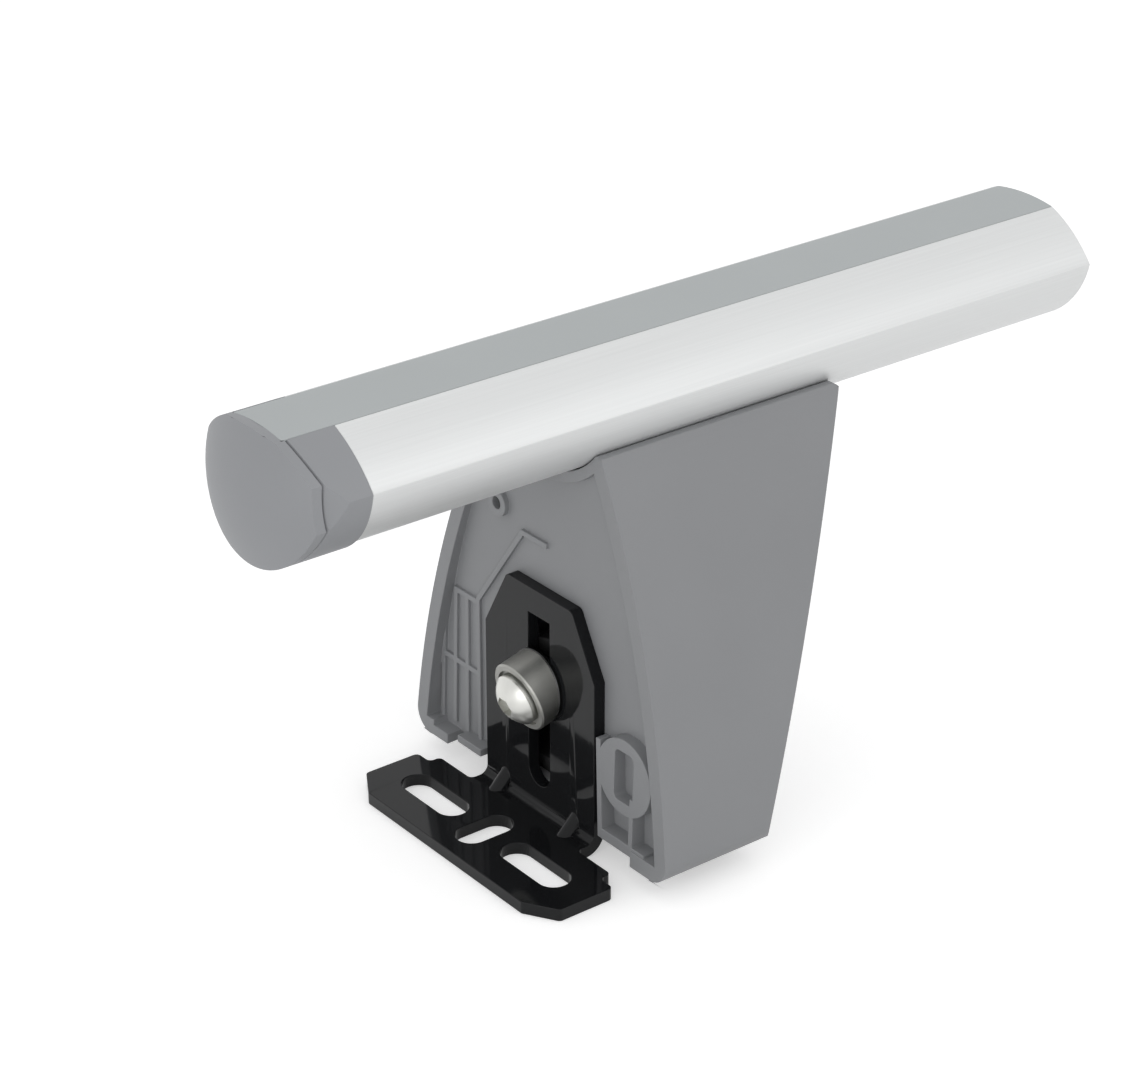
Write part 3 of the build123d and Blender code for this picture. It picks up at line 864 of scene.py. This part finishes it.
class BARFOOT_OT_cap(bpy.types.Operator):
    """Model the domed end cap, with its groove and the small facets at its crease"""

    bl_idname = "barfoot.cap"
    bl_label = "End cap"

    def execute(self, context):
        moulding = context.scene.bar_foot_moulding
        sizes = context.scene.bar_foot_cap
        cap = self.section(self.facet, 0.0, BAR_START)
        combine(cap, self.ball(sizes.groove_front - sizes.groove_width), "INTERSECT")
        face = self.section(self.flat, 0.0, BAR_START)
        combine(face, self.ball(sizes.dome), "INTERSECT")
        combine(face, self.ball(sizes.groove_front), "DIFFERENCE")
        core = self.section(self.facet, sizes.groove_depth / MILLIMETRE, CORE_END)
        combine(core, self.ball((sizes.dome + sizes.groove_front) / 2), "INTERSECT")
        combine(cap, core, "UNION")
        combine(cap, face, "UNION")
        combine(cap, block(*STRIP_NOTCH), "DIFFERENCE")
        select_where(cap, lambda place: True)
        bpy.ops.mesh.remove_doubles(threshold=CAP_MERGE)
        bpy.ops.object.mode_set(mode="OBJECT")
        cap.name = "end_cap_finished"
        soften(cap, sizes.edge_round)
        stand_for(cap, "end_cap")
        paint(cap, moulded_plastic("cap plastic", moulding.cap_colour, moulding.grain_size))
        return {"FINISHED"}

    def section(self, side_plane, inset, end):
        """Length of the cap's section cut by a plane on each side, drawn in by an inset."""
        prism = None
        for across, up, radius in CAP_CIRCLES:
            middle = Vector(((CAP_FRONT + end) / 2, across, up)) * MILLIMETRE
            length = (end - CAP_FRONT) * MILLIMETRE
            shape = rod(CAP_SIDES, (radius - inset) * MILLIMETRE, length, middle)
            if prism:
                combine(prism, shape, "INTERSECT")
            else:
                prism = shape
        for side in (-1, 1):
            point, outward = side_plane(*self.facet_corners(side))
            combine(prism, self.wedge(point, outward * side, inset), "DIFFERENCE")
        return prism

    def ball(self, radius):
        """Ball about the middle of the dome."""
        deselect()
        bpy.ops.mesh.primitive_uv_sphere_add(
            segments=BALL_SEGMENTS,
            ring_count=BALL_RINGS,
            radius=radius,
            location=in_metres(DOME_MIDDLE),
        )
        return settle()

    def facet_corners(self, side):
        """Upper, lower and hind corner of the facet on one side."""
        return (Vector((x, side * y, z)) * MILLIMETRE for x, y, z in CAP_FACET)

    def facet(self, upper, lower, tip):
        """Plane of the facet behind the groove."""
        return tip, (tip - upper).cross(lower - upper)

    def flat(self, upper, lower, tip):
        """Plane along the bar of the flat on the rim of the face."""
        return upper, Vector((1.0, 0.0, 0.0)).cross(lower - upper)

    def wedge(self, point, outward, inset):
        """Block that lies on a plane, drawn in by an inset."""
        deselect()
        outward = outward.normalized()
        bpy.ops.mesh.primitive_cube_add(
            size=WEDGE_SIZE * MILLIMETRE,
            location=point + outward * ((WEDGE_SIZE / 2 - inset) * MILLIMETRE),
            rotation=outward.to_track_quat("Z", "Y").to_euler(),
        )
        return settle()


class BARFOOT_OT_bar(bpy.types.Operator):
    """Finish the bar and its strip"""

    bl_idname = "barfoot.bar"
    bl_label = "Bar and strip"

    def execute(self, context):
        metal = context.scene.bar_foot_metal
        rubber = context.scene.bar_foot_rubber
        bar = soft_edged("bar_extrusion", metal.edge_round)
        paint(bar, anodised_aluminium(metal.bar_colour))
        strip = soft_edged("top_strip", metal.edge_round)
        paint(strip, matt_rubber("strip rubber", rubber.strip_colour, roughness=0.6))
        return {"FINISHED"}


class BARFOOT_OT_bracket(bpy.types.Operator):
    """Finish the folded bracket, with room to slide over the web"""

    bl_idname = "barfoot.bracket"
    bl_label = "Bracket"

    def execute(self, context):
        metal = context.scene.bar_foot_metal
        piece = merged_copy("mounting_bracket")
        combine(piece, block(*BEHIND_BRACKET), "DIFFERENCE")
        soften(piece, metal.edge_round)
        stand_for(piece, "mounting_bracket")
        paint(piece, gloss_paint(metal.paint_colour))
        return {"FINISHED"}


class BARFOOT_OT_fasteners(bpy.types.Operator):
    """Finish the bolts, nuts, washers and the collar"""

    bl_idname = "barfoot.fasteners"
    bl_label = "Fasteners"

    def execute(self, context):
        metal = context.scene.bar_foot_metal
        bright = plated_zinc("bright zinc", metal.zinc_colour, roughness=0.35)
        finishes = {
            "bolt_collar": plated_zinc("dull zinc", metal.collar_colour, roughness=0.4),
            # Washer coloured near black as painted shade and painted reflection behind the collar
            "bolt_washer": plated_zinc("zinc darkened as painted shade", metal.washer_shade_colour, roughness=0.3),
        }
        for node, slot in SLOT_OF_NODE.items():
            if slot == "zinc_steel":
                paint(frame["nodes"][node], finishes.get(node, bright))
        return {"FINISHED"}


class BARFOOT_OT_pads(bpy.types.Operator):
    """Finish the rubber pads under the foot and the bar"""

    bl_idname = "barfoot.pads"
    bl_label = "Pads"

    def execute(self, context):
        settings = context.scene.bar_foot_rubber
        rubber = matt_rubber("pad rubber", settings.pad_colour, roughness=0.7)
        paint(frame["nodes"]["saddle_pad"], rubber)
        sole = merged_copy("foot_pad")
        cut_flat(sole, in_metres(SOLE_POINT), SOLE_OUTWARD)
        soften(sole, settings.edge_round)
        stand_for(sole, "foot_pad")
        paint(sole, rubber)
        return {"FINISHED"}


def softbox(name, place, aim, size, watts):
    """Square soft lamp that looks at a point."""
    lamp = bpy.data.lights.new(name, "AREA")
    lamp.shape = "SQUARE"
    lamp.size = size
    lamp.energy = watts
    box = bpy.data.objects.new(name, lamp)
    bpy.context.scene.collection.objects.link(box)
    box.location = place
    box.rotation_euler = (aim - place).to_track_quat("-Z", "Y").to_euler()


def seen_directly(tree):
    """One for rays from the camera, from gloss and through glass, zero for the rest."""
    path = tree.nodes.new("ShaderNodeLightPath")
    seen = math_node(tree, "MAXIMUM", path.outputs["Is Camera Ray"], path.outputs["Is Glossy Ray"])
    return math_node(tree, "MAXIMUM", seen, path.outputs["Is Transmission Ray"])


class BARFOOT_OT_stage(bpy.types.Operator):
    """Set the floor, the lamps and the camera"""

    bl_idname = "barfoot.stage"
    bl_label = "Stage"

    def execute(self, context):
        stage = context.scene.bar_foot_stage
        self.floor(stage.floor_colour)
        self.world(context.scene, stage.surroundings)
        middle = (CAD_BOX[0] + CAD_BOX[1]) / 2
        for name, (place, size, watts) in SOFTBOXES.items():
            softbox(name, middle + Vector(place), middle, size, watts)
        camera = bpy.data.cameras.new("camera")
        camera.sensor_fit = "HORIZONTAL"
        camera.sensor_width = SENSOR_WIDTH
        camera.lens = stage.lens
        stand = bpy.data.objects.new("camera", camera)
        context.scene.collection.objects.link(stand)
        stand.location = stage.camera_place
        stand.rotation_euler = Vector(stage.camera_aim).to_track_quat("-Z", "Y").to_euler()
        context.scene.camera = stand
        context.scene.view_settings.view_transform = "Standard"
        return {"FINISHED"}

    def floor(self, colour):
        """Pale floor that stays white to the camera and keeps the shadow."""
        deselect()
        height = CAD_BOX[0].z - FLOOR_DROP * MILLIMETRE
        bpy.ops.mesh.primitive_plane_add(size=FLOOR_SIZE, location=(0.0, 0.0, height))
        floor = bpy.context.active_object
        floor.name = "floor"
        material = bpy.data.materials.new("pale floor")
        material.use_nodes = True
        tree = material.node_tree
        tree.nodes.remove(tree.nodes["Principled BSDF"])
        matt = tree.nodes.new("ShaderNodeBsdfDiffuse")
        matt.inputs["Color"].default_value = (*colour, 1.0)
        glow = tree.nodes.new("ShaderNodeEmission")
        both = tree.nodes.new("ShaderNodeAddShader")
        strength = math_node(tree, "MULTIPLY", seen_directly(tree), FLOOR_GLOW)
        tree.links.new(strength, glow.inputs["Strength"])
        tree.links.new(matt.outputs[0], both.inputs[0])
        tree.links.new(glow.outputs[0], both.inputs[1])
        tree.links.new(both.outputs[0], tree.nodes["Material Output"].inputs["Surface"])
        paint(floor, material)

    def world(self, scene, strength):
        """Even white surroundings, full white where they are seen."""
        world = bpy.data.worlds.new("studio")
        world.use_nodes = True
        tree = world.node_tree
        sky = tree.nodes["Background"]
        sky.inputs["Color"].default_value = (1.0, 1.0, 1.0, 1.0)
        extra = math_node(tree, "MULTIPLY", seen_directly(tree), 1.0 - strength)
        tree.links.new(math_node(tree, "ADD", extra, strength), sky.inputs["Strength"])
        scene.world = world


class VIEW3D_PT_bar_foot(bpy.types.Panel):
    """Settings and steps of the roof bar foot"""

    bl_label = "Roof bar foot"
    bl_space_type = "VIEW_3D"
    bl_region_type = "UI"
    bl_category = "Bar foot"

    def draw(self, context):
        for group, steps in PANEL_ROWS.items():
            settings = getattr(context.scene, group)
            box = self.layout.box()
            for name in settings.bl_rna.properties.keys():
                if name not in ("rna_type", "name"):
                    box.prop(settings, name)
            for step in steps:
                box.operator(step)


SETTINGS = {
    "bar_foot_moulding": MouldingSettings,
    "bar_foot_keeper": KeeperSettings,
    "bar_foot_cap": CapSettings,
    "bar_foot_metal": MetalSettings,
    "bar_foot_rubber": RubberSettings,
    "bar_foot_stage": StageSettings,
}
PANEL_ROWS = {
    "bar_foot_moulding": ("barfoot.tower",),
    "bar_foot_keeper": ("barfoot.keeper",),
    "bar_foot_cap": ("barfoot.cap",),
    "bar_foot_metal": ("barfoot.bar", "barfoot.bracket", "barfoot.fasteners"),
    "bar_foot_rubber": ("barfoot.pads",),
    "bar_foot_stage": ("barfoot.stage",),
}
CLASSES = (
    *SETTINGS.values(),
    BARFOOT_OT_tower,
    BARFOOT_OT_keeper,
    BARFOOT_OT_cap,
    BARFOOT_OT_bar,
    BARFOOT_OT_bracket,
    BARFOOT_OT_fasteners,
    BARFOOT_OT_pads,
    BARFOOT_OT_stage,
    VIEW3D_PT_bar_foot,
)


def register():
    for item in CLASSES:
        bpy.utils.register_class(item)
    for name, group in SETTINGS.items():
        setattr(bpy.types.Scene, name, PointerProperty(type=group))


def unregister():
    for name in SETTINGS:
        delattr(bpy.types.Scene, name)
    for item in reversed(CLASSES):
        bpy.utils.unregister_class(item)


def main():
    """Finish every piece and set the stage."""
    register()
    bpy.ops.barfoot.tower()
    bpy.ops.barfoot.keeper()
    bpy.ops.barfoot.cap()
    bpy.ops.barfoot.bar()
    bpy.ops.barfoot.bracket()
    bpy.ops.barfoot.fasteners()
    bpy.ops.barfoot.pads()
    bpy.ops.barfoot.stage()


if __name__ == "__main__":
    main()
